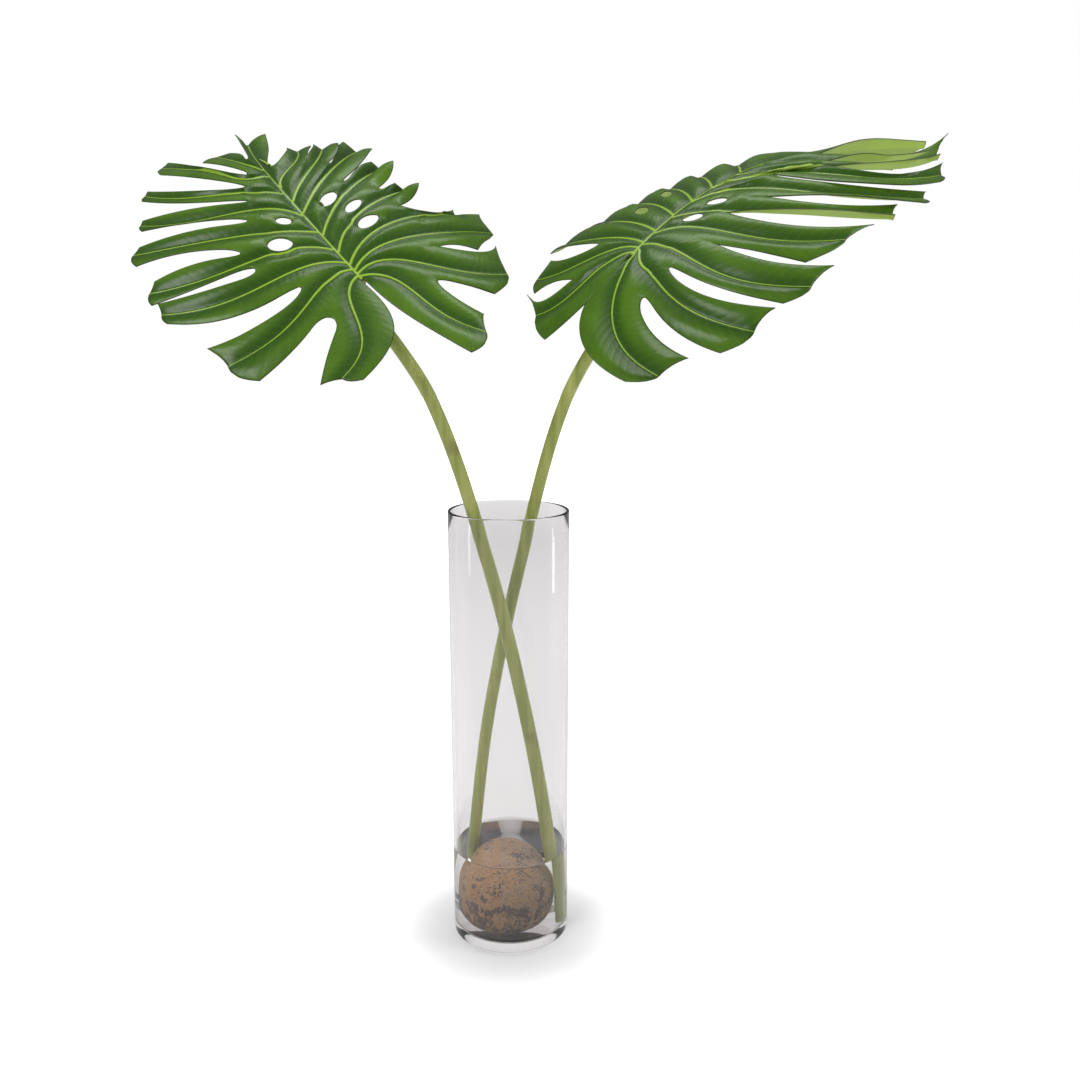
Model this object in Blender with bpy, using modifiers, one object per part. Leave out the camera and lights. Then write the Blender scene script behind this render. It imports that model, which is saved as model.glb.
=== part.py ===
"""Two cut monstera leaves on their stems, standing in a glass cylinder vase with water and one stone.

Metres, Z up, +Y away from the viewer. The vase's axis is the Z axis and it stands on z = 0.
The flat plan of each blade is in millimetres: along the midrib from the stem, then out from it.
"""

import math
from collections import namedtuple

import bmesh
import bpy
import numpy as np

# Vase: a 12 cm by 45 cm cylinder with a thick base.
VASE_RADIUS = 0.060
VASE_HEIGHT = 0.450
VASE_WALL = 0.003
VASE_FLOOR = 0.011
BASE_ROUNDING = 0.004
RIM_ROUNDING = 0.0014
VASE_STEPS = 48

# Clearance between pieces that would touch.
GAP = 0.0003

WATER_LEVEL = 0.094
WATER_STEPS = 48

STONE_SIZE = (0.077, 0.084, 0.082)
STONE_PLACE = (-0.005, -0.010)
STONE_LUMPS = 0.0030
STONE_FULLNESS = 0.38
STONE_DETAIL = 3

# Stems: their radii in the water and under the leaf.
LEFT_STEM_RADII = (0.0074, 0.0059)
RIGHT_STEM_RADII = (0.0066, 0.0058)
STEM_ROUNDNESS = 3
STEM_DROP = 0.0018

BLADE_THICKNESS = 0.0010
MIDRIB_HALF = 1.5
QUILTING = 0.0035
ROWS = (0, 0.09, 0.175, 0.24, 0.31, 0.375, 0.5, 0.53, 0.6, 0.72, 0.86, 1)
ACROSS = (-1, -0.5, 0, 0.5, 1)

# A lobe: where its vein leaves the midrib, where the vein ends, how far it bows towards the leaf's
# base and how far it first leads towards the tip, the base-side corner and that edge's belly, the
# tip-side corner and belly, the end of the cut to the next lobe and the cut's width there, a hole in
# line with that cut (from, to, width, shift to the tip), how far each half is folded up, in degrees, and how the outer
# part, from BEND_FROM of the vein on, bends up, per metre.
Lobe = namedtuple(
    "Lobe",
    "root end bow lead base base_belly tip tip_belly sinus width hole fold bend",
    defaults=(6, None, (0, 0), 0),
)
BEND_FROM = 0.62
# The lobe at the leaf's tip: where it starts, its length along the midrib, the corner of this half,
# its edge's belly, the half's fold, and the bend from `bend_from` on, in place of the midrib's arch.
Tip = namedtuple("Tip", "root end base base_belly fold bend bend_from")

LEFT_LEAF_LEFT = [
    Lobe(2, (-103, 78), 16, 17, (-115, 64), -25, (-98, 96), 2, (-32, 51), 18),
    Lobe(12, (-22, 147), 16, 14, (-57, 134), 6, (7, 151), -9, (12, 53), 9),
    Lobe(22, (57, 164), 17, 15, (47, 165), 17, (69, 161), -4, (48, 75), 11),
    Lobe(42, (83, 162), 9, 14, (71, 166), 4, (92, 152), 4, (72, 76), 8, (0.38, 0.68, 17)),
    Lobe(71, (135, 156), 4, 4, (120, 158), -4, (141, 146), 2, (109, 51), 8, (0.27, 0.55, 11)),
    Lobe(101, (171, 136), 12, 18, (162, 137), 1, (178, 131), 0, (140, 38), 6),
    Lobe(147, (226, 119), 18, 10, (217, 123), 11, (236, 114), -9, (169, 31), 8),
    Lobe(192, (316, 96), 10, 0, (278, 97), 5, (361, 89), -12, (197, 20), 7),
    Lobe(214, (300, 38), 0, 0, (280, 52), 0, (314, 20), 4, (248, 10), 4),
    Tip(232, 312, (331, 10), -2, 10, 4.5, 0.4),
]
LEFT_LEAF_RIGHT = [
    Lobe(1, (-111, 58), 7, 17, (-129, 31), -7, (-88, 71), -4, (-38, 57), 6),
    Lobe(5, (-41, 141), 14, 20, (-66, 101), 1, (-1, 169), -15, (2, 81), 6),
    Lobe(10, (34, 190), 6, 14, (-8, 134), -3, (108, 210), -14, (44, 99), 6),
    Lobe(18, (62, 152), -12, 4, (41, 139), -1, (83, 159), -17, (75, 90), 6, (0.42, 0.68, 14)),
    Lobe(37, (116, 116), -6, 3, (106, 125), 11, (118, 101), -1, (115, 85), 6, (0.44, 0.68, 11), (45, 30)),
    Lobe(65, (181, 114), 0, 2, (172, 121), 12, (186, 102), 1, (139, 58), 6, (0.33, 0.66, 14), (45, 30)),
    Lobe(105, (264, 108), 9, 2, (261, 123), 15, (269, 92), 0, (190, 61), 6, None, (25, 30)),
    Lobe(129, (265, 71), 11, 4, (260, 84), 10, (266, 61), -5, (199, 37), 6, None, (30, 30)),
    Lobe(161, (260, 44), 10, 8, (257, 59), 0, (265, 34), -6, (209, 6), 6, None, (20, 20)),
    Tip(232, 312, (328, 23), 3, 0, 4.5, 0.4),
]
RIGHT_LEAF_LEFT = [
    Lobe(2, (-78, 78), 16, 14, (-100, 50), -16, (-55, 111), -20, (-35, 44), 8),
    Lobe(9, (-35, 113), 11, 12, (-53, 100), -5, (-6, 114), -11, (9, 52), 6),
    Lobe(17, (45, 165), 12, 7, (26, 158), 6, (63, 162), 4, (49, 80), 6),
    Lobe(35, (100, 166), 12, 6, (79, 162), 6, (117, 160), 4, (88, 80), 6, (0.42, 0.67, 12)),
    Lobe(62, (155, 160), 12, 6, (134, 159), 6, (171, 151), 4, (128, 75), 6, (0.42, 0.67, 10)),
    Lobe(90, (205, 148), 12, 6, (184, 150), 6, (219, 137), 4, (165, 66), 6),
    Lobe(120, (252, 130), 12, 5, (231, 135), 6, (265, 117), 4, (205, 54), 6),
    Lobe(163, (300, 105), 10, 4, (281, 113), 6, (311, 91), 4, (242, 36), 6),
    Tip(215, 488, (462, 30), -3, -35, -0.25, 0.15),
]
RIGHT_LEAF_RIGHT = [
    Lobe(3, (-111, 91), 30, 5, (-122, 60), -43, (-89, 112), -8, (-47, 47), 9),
    Lobe(7, (-46, 154), 23, 5, (-77, 136), 9, (-13, 158), -16, (-11, 52), 6),
    Lobe(14, (26, 170), 29, 16, (-5, 161), 11, (61, 171), -19, (29, 63), 6),
    Lobe(31, (97, 160), 25, 18, (48, 151), 3, (137, 164), -22, (72, 56), 5, (0.3, 0.62, 12, 9)),
    Lobe(58, (157, 170), 26, 12, (153, 170), 8, (187, 157), -22, (104, 58), 7, (0.35, 0.66, 11, 8), (85, 0)),
    Lobe(88, (225, 162), 34, 28, (184, 181), 4, (243, 153), -22, (152, 46), 9, None, (20, 0)),
    Lobe(118, (276, 146), 23, 25, (251, 158), 34, (312, 126), -34, (201, 66), 6, None, (10, 0), 0.4),
    Lobe(155, (292, 128), 24, 4, (290, 128), 0, (343, 106), -24, (214, 55), 6, None, (80, 0), 3),
    Lobe(190, (326, 106), 14, 1, (324, 104), 0, (383, 90), -20, (245, 31), 6, None, (80, 0), 4.5),
    Tip(215, 488, (478, 8), -8, 50, -0.25, 0.15),
]

# How each leaf is held: where the stem meets it, the midrib's compass heading and rise, the blade's
# roll, the side lean of the midrib's arch, the arch per metre behind and ahead of the stem, the rise
# of both halves, and the droop per metre of each half, at the stem and at the tip.
Pose = namedtuple("Pose", "junction heading rise roll lean arch fold droop")
LEFT_POSE = Pose((-0.131, -0.052, 0.670), 143, 39, 29, 34, (2.0, -2.3), 5.4, {-1: (-2.6, -2.6), 1: (-3.7, -3.7)})
RIGHT_POSE = Pose((0.112, -0.051, 0.691), 34, 40, -9, 0, (-5.6, -2.1), 1.1, {-1: (-2.4, -10.0), 1: (-2.8, -2.8)})

# Stem centre lines from the vase floor up; the last stretch turns up into the blade.
LEFT_STEM = [
    (0.0455, -0.012, 0.014),
    (0.0405, -0.013, 0.094),
    (0.0151, -0.019, 0.248),
    (-0.0209, -0.024, 0.404),
    (-0.0710, -0.035, 0.559),
]
RIGHT_STEM = [
    (-0.0425, 0.0235, 0.014),
    (-0.0420, 0.0235, 0.055),
    (-0.0385, 0.0205, 0.100),
    (-0.0213, 0.013, 0.236),
    (0.0122, 0.004, 0.398),
    (0.0554, -0.012, 0.558),
]


def smooth(x):
    """0 up to 0, 1 from 1 on, and eased between them."""
    x = np.clip(x, 0, 1)
    return x * x * (3 - 2 * x)


def bowed(start, end, bow, s):
    """Points at shares s of a curve that bows to the left of its chord."""
    start, end = np.array(start, float), np.array(end, float)
    chord = end - start
    middle = (start + end) / 2 + 2 * bow * np.array([-chord[1], chord[0]]) / np.hypot(*chord)
    s = np.asarray(s, float)[:, None]
    return (1 - s) ** 2 * start + 2 * s * (1 - s) * middle + s * s * end


def unit(v):
    return v / (np.linalg.norm(v) + 1e-12)


class Blade:
    """One blade: its flat plan, and the arched surface that the plan lies on."""

    def __init__(self, pose, left, right):
        heading, rise, roll, lean = (math.radians(a) for a in (pose.heading, pose.rise, pose.roll, pose.lean))
        self.junction = np.array(pose.junction)
        self.ahead = np.array(
            [math.cos(rise) * math.cos(heading), math.cos(rise) * math.sin(heading), math.sin(rise)]
        )
        level = unit(np.array([self.ahead[1], -self.ahead[0], 0.0]))
        across = level * math.cos(roll) + np.cross(level, self.ahead) * math.sin(roll)
        self.normal = np.cross(across, self.ahead)
        self.lean = lean
        self.bend_up = self.normal * math.cos(lean) - across * math.sin(lean)
        self.hinge = across * math.cos(lean) + self.normal * math.sin(lean)
        self.arch = pose.arch
        self.rise_of_halves = math.radians(pose.fold)
        self.droop = pose.droop
        self.halves = {-1: left, 1: right}

    def surface(self, plan, side):
        """Places in space of flat points (n, 2) of one half, before any lobe is folded."""
        along, out = plan[:, 0] / 1000, np.maximum(plan[:, 1], 0) / 1000
        arch = np.where(along < 0, self.arch[0], self.arch[1])
        turn = arch * along
        up = -np.outer(np.sin(turn), self.ahead) + np.outer(np.cos(turn), self.bend_up)
        across = self.hinge * math.cos(self.lean) - up * math.sin(self.lean)
        normal = self.hinge * math.sin(self.lean) + up * math.cos(self.lean)
        midrib = np.outer(np.sin(turn) / arch, self.ahead) + np.outer((1 - np.cos(turn)) / arch, self.bend_up)
        droop = np.interp(plan[:, 0], (0, self.halves[side][-1].end), self.droop[side])
        first, last = self.rise_of_halves, self.rise_of_halves + droop * out
        sideways = (np.sin(last) - math.sin(first)) / droop + np.minimum(plan[:, 1], 0) / 1000
        height = (math.cos(first) - np.cos(last)) / droop
        return self.junction + midrib + side * across * sideways[:, None] + normal * height[:, None]

    def normals(self, plan, side):
        place = self.surface(plan, side)
        ahead = self.surface(plan + [0.1, 0], side) - place
        out = self.surface(plan + [0, 0.1], side) - place
        normal = np.cross(out, ahead) * side
        return normal / np.linalg.norm(normal, axis=1)[:, None]

    def vein_line(self, lobe, s):
        """Flat points of a lobe's vein at shares s of its length."""
        if isinstance(lobe, Tip):
            along = lobe.root + (lobe.end - lobe.root) * np.asarray(s, float)
            return np.stack([along, np.full_like(along, MIDRIB_HALF)], 1)
        start = np.array([lobe.root, MIDRIB_HALF])
        line = bowed(start, lobe.end, lobe.bow, s)
        return line - left_of(lobe.end - start) * lead_at(lobe.lead, s)[:, None]

    def vein(self, half, i, rows):
        """The vein at rows 0 to 1; row 0.5 is level with the cuts beside the lobe."""
        lobe = half[i]
        end = np.array([lobe.end, 0]) if isinstance(lobe, Tip) else np.array(lobe.end)
        length = np.hypot(end[0] - lobe.root, end[1])
        beside = [cut.sinus for cut in half[max(i - 1, 0) : i + 1] if not isinstance(cut, Tip)]
        level = np.mean([np.hypot(s[0] - lobe.root, s[1]) for s in beside]) / length
        line = self.vein_line(lobe, np.interp(rows, (0, 0.5, 1), (0, min(max(level, 0.12), 0.8), 1)))
        if isinstance(lobe, Tip):
            return line
        low = self.edge(half, i, False, rows)
        span = self.edge(half, i, True, rows) - low
        share = ((line - low) * span).sum(1) / np.maximum((span * span).sum(1), 1)
        kept = np.clip(share, 0.15, 0.85)
        off = line - low - span * share[:, None]
        most = 0.6 * np.minimum(kept, 1 - kept) * np.hypot(*span.T)
        free = smooth((rows - 0.7) / 0.3)
        trim = free + (1 - free) * np.minimum(1, most / np.maximum(np.hypot(*off.T), 1e-6))
        return low + span * kept[:, None] + off * trim[:, None]

    def edge(self, half, i, tipward, rows):
        """One edge of lobe i: the line to the cut, then along the cut to the lobe's corner."""
        lobe = half[i]
        if i == 0 and not tipward:
            return bowed((-3, MIDRIB_HALF), lobe.base, -lobe.base_belly, rows)
        near, far = (half[i], half[i + 1]) if tipward else (half[i - 1], half[i])
        hole = (*(near.hole or (0.35, 0.75, 0)), 0)
        sinus = np.array(near.sinus, float)
        start = np.array([(near.root + far.root) / 2, MIDRIB_HALF])
        share = np.interp(rows / 0.5, (0, 0.35, 0.75, 1), (0, hole[0], hole[1], 1))
        far_bow, far_lead = (0, 0) if isinstance(far, Tip) else (far.bow, far.lead)
        inner = bowed(start, sinus, (near.bow + far_bow) * 0.3, share)
        reach = np.hypot(*(sinus - start)) / np.hypot(*(np.array(near.end) - [near.root, MIDRIB_HALF]))
        lead = lead_at((near.lead + far_lead) / 2, share * reach)
        lead = lead - share * lead_at((near.lead + far_lead) / 2, np.array([reach]))
        lead = lead + hole[3] * np.sin(math.pi * share)
        inner = inner - left_of(sinus - start) * lead[:, None]
        widening = np.sqrt(np.maximum(np.sin(math.pi * np.clip((rows / 0.5 - 0.35) / 0.4, 0, 1)), 0))
        inner = inner + (1 if tipward else -1) * left_of(sinus - start) * (hole[2] / 2 * widening)[:, None]

        out = np.clip((rows - 0.5) / 0.5, 0, 1)
        corner = np.array(lobe.tip if tipward else lobe.base, float)
        other = np.array(far.base if tipward else near.tip, float)
        belly = -lobe.tip_belly if tipward else lobe.base_belly
        away = unit(unit(corner - sinus) - unit(other - sinus))
        opened = near.width / 2 * np.sqrt(np.clip(out / 0.2, 0, 1) * (2 - np.clip(out / 0.2, 0, 1))) * (1 - out)
        outer = bowed(sinus, corner, belly, out) + away * opened[:, None]
        return np.where((rows <= 0.5)[:, None], inner, outer)

    def column(self, side, i, across, rows):
        """Places in space down one lobe; across runs from -1, its base-side edge, to 1, its tip-side edge."""
        half = self.halves[side]
        lobe = half[i]
        rows = np.asarray(rows, float)
        vein = self.vein(half, i, rows)
        plan = vein
        if across:
            plan = vein + (self.edge(half, i, across > 0, rows) - vein) * abs(across)
            ends = self.vein_line(lobe, [0.9, 1.0])
            corner = np.array(lobe.tip if across > 0 else lobe.base)
            swell = (-0.24 if across > 0 else 0.6) * np.hypot(*(corner - ends[1])) * abs(across) * (1 - abs(across))
            plan = plan + unit(ends[1] - ends[0]) * (swell * smooth((rows - 0.75) / 0.25))[:, None]
        place, normal = self.surface(plan, side), self.normals(plan, side)
        fold = lobe.fold if isinstance(lobe, Tip) else lobe.fold[across > 0]
        if across and fold:
            ridge = self.surface(vein, side)
            reach = place - ridge
            angle = (math.radians(fold) * smooth((rows - 0.5) / 0.35))[:, None]
            length = np.linalg.norm(reach, axis=1)[:, None]
            place = ridge + reach * np.cos(angle) + normal * np.sin(angle) * length
        if isinstance(lobe, Tip):
            place = self.bent(side, plan, place, *self.vein_line(lobe, [lobe.bend_from, 1.0]), lobe.bend)
        elif lobe.bend:
            place = self.bent(side, plan, place, *self.vein_line(lobe, [BEND_FROM, 1.0]), lobe.bend)
        puff = QUILTING * np.sin(math.pi * rows) * np.clip(np.hypot(*plan.T) / 110, 0, 1)
        return place + normal * (puff * np.sin(math.pi / 2 * across) ** 2)[:, None]

    def bent(self, side, plan, place, start, end, bend):
        """The part of a lobe beyond the flat point `start` on a bend of its own, towards `end`."""
        ahead = unit(end - start)
        beyond = np.maximum((plan - start) @ ahead, 0)
        back = plan - ahead * beyond[:, None]
        root, normal = self.surface(back, side), self.normals(back, side)
        along = self.surface(back + ahead * 0.1, side) - root
        along = along / np.linalg.norm(along, axis=1)[:, None]
        turn = bend * beyond / 1000
        shift = along * (np.sin(turn) / bend)[:, None] + normal * ((1 - np.cos(turn)) / bend)[:, None]
        return place - self.surface(plan, side) + root + shift


def left_of(v):
    """The unit vector a quarter turn to the left of a flat one."""
    return unit(np.array([-v[1], v[0]], float))


def lead_at(lead, s):
    """How far a vein still leads towards the leaf's tip, at shares s of its length."""
    s = np.clip(np.asarray(s, float), 0, 1)
    return lead * 9.5 * s * (1 - s) ** 3


def blade_grid(blade, rows, across):
    """Vertices, faces and the two lines of vertices beside the midrib, each with its place along it."""
    verts, faces, seams = [], [], {}
    rows = np.asarray(rows, float)
    for side, half in blade.halves.items():
        seam = []
        for i, lobe in enumerate(half):
            last = isinstance(lobe, Tip)
            columns = [w for w in across if w <= 0] if last else list(across)
            first = len(verts)
            grid = np.stack([blade.column(side, i, w, rows) for w in columns], 1)
            verts.extend(grid.reshape(-1, 3))
            count = len(columns)
            for r in range(len(rows) - 1):
                for c in range(count - 1):
                    corner = first + r * count + c
                    quad = (corner, corner + 1, corner + count + 1, corner + count)
                    faces.append(quad if side < 0 else quad[::-1])
            before = half[i - 1].root if i else -6 - lobe.root
            after = lobe.root if last else half[i + 1].root
            for c, w in enumerate(columns):
                seam.append((lobe.root + w * (lobe.root - before if w < 0 else after - lobe.root) / 2, first + c))
            if last:
                run = blade.vein(half, i, rows)[:, 0]
                seam.extend((run[r], first + r * count + count - 1) for r in range(1, len(rows)))
        seams[side] = seam
    return verts, faces, seams


def midrib_strip(seams):
    """Triangles between the two halves, laid in the order of the points along the midrib."""
    left, right = seams[-1], seams[1]
    i, j, faces = 0, 0, []
    while i < len(left) - 1 or j < len(right) - 1:
        if j == len(right) - 1 or (i < len(left) - 1 and left[i + 1][0] <= right[j + 1][0]):
            faces.append((left[i][1], right[j][1], left[i + 1][1]))
            i += 1
        else:
            faces.append((left[i][1], right[j][1], right[j + 1][1]))
            j += 1
    return faces


def principled(name, colour, roughness, transmission=0.0):
    material = bpy.data.materials.new(name)
    material.use_nodes = True
    shader = material.node_tree.nodes["Principled BSDF"]
    shader.inputs["Base Color"].default_value = (*colour, 1)
    shader.inputs["Roughness"].default_value = roughness
    shader.inputs["Transmission Weight"].default_value = transmission
    material.diffuse_color = (*colour, 1)
    return material


def glassy(name, colour):
    return principled(name, colour, 0.02, 1.0)


def add_object(name, mesh, material, collection):
    mesh.materials.append(material)
    obj = bpy.data.objects.new(name, mesh)
    collection.objects.link(obj)
    return obj


def add_blade(name, blade, collection):
    verts, faces, seams = blade_grid(blade, ROWS, ACROSS)
    faces.extend(midrib_strip(seams))
    mesh = bpy.data.meshes.new(name)
    mesh.from_pydata([tuple(v) for v in verts], [], faces)
    work = bmesh.new()
    work.from_mesh(mesh)
    bmesh.ops.remove_doubles(work, verts=work.verts, dist=0.00002)
    bmesh.ops.dissolve_degenerate(work, edges=work.edges, dist=0.00002)
    work.to_mesh(mesh)
    work.free()
    mesh.shade_smooth()
    obj = add_object(name, mesh, principled(name, (0.035, 0.13, 0.02), 0.35), collection)
    split = obj.modifiers.new("split alike on both faces", "TRIANGULATE")
    split.quad_method = "SHORTEST_DIAGONAL"
    solid = obj.modifiers.new("thickness", "SOLIDIFY")
    solid.thickness = BLADE_THICKNESS
    solid.offset = -1
    return obj


def stem_line(points, blade):
    """The stem's centre line, turned up into the underside of its blade."""
    head = blade.junction - blade.normal * (BLADE_THICKNESS + GAP + STEM_DROP)
    points = [np.array(p) for p in points] + [head - blade.normal * 0.016, head]
    line = []
    for a, b, c, d in zip([points[0], *points[:-2]], points[:-1], points[1:], [*points[2:], points[-1]]):
        steps = max(2, int(np.linalg.norm(c - b) / 0.022))
        pull_b = (c - a) / (np.linalg.norm(c - a) + 1e-9) * np.linalg.norm(c - b) * 0.33
        pull_c = (d - b) / (np.linalg.norm(d - b) + 1e-9) * np.linalg.norm(c - b) * 0.33
        for s in np.arange(steps) / steps:
            p = (1 - s) ** 3 * b + 3 * s * (1 - s) ** 2 * (b + pull_b) + 3 * s * s * (1 - s) * (c - pull_c) + s**3 * c
            line.append(p)
    line.append(points[-1])
    return line


def stem_radii(line, ends):
    """Thicker at the foot than under the blade, with a slight swelling just below the blade."""
    share = np.linspace(0, 1, len(line))
    radii = ends[0] + (ends[1] - ends[0]) * share
    return radii + 0.0007 * np.exp(-(((share - 0.95) / 0.03) ** 2))


def stem_curve(name, line, radii, collection):
    """A round bar along a line, with its ends closed."""
    curve = bpy.data.curves.new(name, "CURVE")
    curve.dimensions = "3D"
    curve.bevel_depth = max(radii)
    curve.bevel_resolution = STEM_ROUNDNESS
    curve.use_fill_caps = True
    spline = curve.splines.new("POLY")
    spline.points.add(len(line) - 1)
    for point, place, radius in zip(spline.points, line, radii):
        point.co = (*place, 1)
        point.radius = radius / max(radii)
    obj = bpy.data.objects.new(name, curve)
    collection.objects.link(obj)
    return obj


def meshed(obj):
    """A curve made into a closed mesh object, which a Boolean can use."""
    bpy.context.view_layer.update()
    graph = bpy.context.evaluated_depsgraph_get()
    mesh = bpy.data.meshes.new_from_object(obj.evaluated_get(graph))
    work = bmesh.new()
    work.from_mesh(mesh)
    bmesh.ops.remove_doubles(work, verts=work.verts, dist=0.00001)
    work.to_mesh(mesh)
    work.free()
    name, collection = obj.name, obj.users_collection[0]
    bpy.data.objects.remove(obj, do_unlink=True)
    made = bpy.data.objects.new(name, mesh)
    collection.objects.link(made)
    return made


def vase_profile():
    """Half section of the vase: up its inner side from the floor, over the rim and down the outer side."""
    outer, inner, top = VASE_RADIUS, VASE_RADIUS - VASE_WALL, VASE_HEIGHT
    points = [(0, VASE_FLOOR)]
    points += quarter(inner - 0.006, VASE_FLOOR + 0.006, 0.006, -90, 0)
    points += quarter(inner + RIM_ROUNDING, top - RIM_ROUNDING, RIM_ROUNDING, 180, 90)
    points += quarter(outer - RIM_ROUNDING, top - RIM_ROUNDING, RIM_ROUNDING, 90, 0)
    points += quarter(outer - BASE_ROUNDING, BASE_ROUNDING, BASE_ROUNDING, 0, -90)
    return [*points, (0, 0)]


def quarter(x, z, radius, start, stop, steps=3):
    turns = np.radians(np.linspace(start, stop, steps + 1))
    return [(x + radius * math.cos(t), z + radius * math.sin(t)) for t in turns]


def add_turned(name, profile, steps, colour, collection):
    """A solid turned round Z from a profile that starts and ends on the axis."""
    mesh = bpy.data.meshes.new(name)
    mesh.from_pydata([(x, 0, z) for x, z in profile], [(k, k + 1) for k in range(len(profile) - 1)], [])
    obj = add_object(name, mesh, colour, collection)
    turned = obj.modifiers.new("turned", "SCREW")
    turned.steps = steps
    turned.render_steps = steps
    turned.use_merge_vertices = True
    turned.merge_threshold = 0.00005
    turned.use_smooth_shade = True
    return obj


def stone_mesh(name, extra=0.0):
    """A water-worn stone: a blocky egg with low swells, fuller below its middle, on the vase floor."""
    work = bmesh.new()
    bmesh.ops.create_icosphere(work, subdivisions=STONE_DETAIL, radius=1.0)
    for v in work.verts:
        x, y, z = v.co
        swell = math.sin(2.3 * x + 1.1) * math.sin(1.9 * y - 0.6) + 0.6 * math.sin(3.1 * z + 1.7 * x)
        wide = (1 - 0.04 * z) * (1 + STONE_FULLNESS * z**4 + 0.42 * max(-z, 0) ** 2)
        half = [s / 2 + extra for s in STONE_SIZE]
        v.co = (
            x * wide * (half[0] + STONE_LUMPS * swell * 0.6),
            y * wide * (half[1] + STONE_LUMPS * swell * 0.6),
            z * half[2],
        )
    low = min(v.co.z for v in work.verts)
    for v in work.verts:
        v.co.x += STONE_PLACE[0]
        v.co.y += STONE_PLACE[1]
        v.co.z += VASE_FLOOR + GAP - extra - low
    mesh = bpy.data.meshes.new(name)
    work.to_mesh(mesh)
    work.free()
    return mesh


def add_cutter(obj, cutters):
    obj.hide_render = True
    obj.display_type = "WIRE"
    if obj.name not in cutters.objects:
        cutters.objects.link(obj)
    return obj


def add_water(stems, collection, cutters):
    """The water: a plain filling of the vase, less the stems and the stone that stand in it."""
    radius, low = VASE_RADIUS - VASE_WALL - GAP, VASE_FLOOR + GAP
    profile = [(0, WATER_LEVEL), (radius, WATER_LEVEL), *quarter(radius - 0.006, low + 0.006, 0.006, 0, -90), (0, low)]
    water = add_turned("water", profile, WATER_STEPS, glassy("water", (0.95, 0.97, 0.97)), collection)
    stone = stone_mesh("stone_cutter", GAP + 0.0001)
    shapes = [add_cutter(bpy.data.objects.new("stone_cutter", stone), cutters)]
    for name, (line, ends) in stems.items():
        below = [p for p in line if p[2] < 0.15]
        radii = stem_radii(line, ends)[: len(below)] + GAP + 0.0001
        below = [below[0] * 2 - below[1], *below]
        cutter = meshed(stem_curve(name + "_cutter", below, [radii[0], *radii], cutters))
        shapes.append(add_cutter(cutter, cutters))
    for cutter in shapes:
        cut = water.modifiers.new("less " + cutter.name, "BOOLEAN")
        cut.operation = "DIFFERENCE"
        cut.solver = "EXACT"
        cut.object = cutter
    return water


def main():
    for obj in list(bpy.data.objects):
        bpy.data.objects.remove(obj, do_unlink=True)
    scene = bpy.context.scene
    scene.unit_settings.system = "METRIC"
    scene.unit_settings.scale_length = 1.0
    parts = bpy.data.collections.new("monstera_leaves_in_vase")
    cutters = bpy.data.collections.new("cutters")
    scene.collection.children.link(parts)
    scene.collection.children.link(cutters)

    left = Blade(LEFT_POSE, LEFT_LEAF_LEFT, LEFT_LEAF_RIGHT)
    right = Blade(RIGHT_POSE, RIGHT_LEAF_LEFT, RIGHT_LEAF_RIGHT)
    add_blade("left_leaf_blade", left, parts)
    add_blade("right_leaf_blade", right, parts)

    stems = {
        "left_leaf_stem": (stem_line(LEFT_STEM, left), LEFT_STEM_RADII),
        "right_leaf_stem": (stem_line(RIGHT_STEM, right), RIGHT_STEM_RADII),
    }
    for name, (line, ends) in stems.items():
        stem = stem_curve(name, line, stem_radii(line, ends), parts)
        stem.data.materials.append(principled(name, (0.20, 0.24, 0.08), 0.4))

    add_turned("vase", vase_profile(), VASE_STEPS, glassy("vase", (0.9, 0.92, 0.92)), parts)
    stone = add_object("stone", stone_mesh("stone"), principled("stone", (0.35, 0.18, 0.06), 0.7), parts)
    stone.data.shade_smooth()
    add_water(stems, parts, cutters)


main()
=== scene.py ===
"""Two cut monstera leaves in a glass cylinder vase with water and a stone, dressed for the camera.

Metres, +Z up and +Y away from the viewer. The vase stands on z = 0 with its axis on the Z axis.
The flat plan of each blade is in millimetres: along the midrib from the stem, then out from it.
"""

from __future__ import annotations

import logging
import math
from dataclasses import dataclass
from enum import Enum
from typing import Any

import bmesh
import bpy
import numpy as np
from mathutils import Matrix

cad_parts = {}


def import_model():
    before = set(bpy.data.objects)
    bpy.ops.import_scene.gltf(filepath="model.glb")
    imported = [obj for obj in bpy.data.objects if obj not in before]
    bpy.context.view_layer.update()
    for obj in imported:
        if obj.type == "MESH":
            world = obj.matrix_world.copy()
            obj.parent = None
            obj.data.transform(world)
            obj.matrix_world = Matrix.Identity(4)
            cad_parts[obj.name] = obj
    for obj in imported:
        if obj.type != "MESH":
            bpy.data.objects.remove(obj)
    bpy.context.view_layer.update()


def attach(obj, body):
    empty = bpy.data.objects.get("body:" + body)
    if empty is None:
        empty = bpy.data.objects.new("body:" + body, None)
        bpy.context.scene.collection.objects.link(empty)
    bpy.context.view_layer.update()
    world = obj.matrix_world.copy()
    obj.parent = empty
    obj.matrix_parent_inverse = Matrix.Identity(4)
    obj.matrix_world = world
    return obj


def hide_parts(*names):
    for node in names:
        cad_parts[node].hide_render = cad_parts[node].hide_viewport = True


log = logging.getLogger("monstera")

Colour = tuple[float, float, float]
Point = tuple[float, float, float]
Flat = tuple[float, float]


# ---- nodes ----


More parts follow.
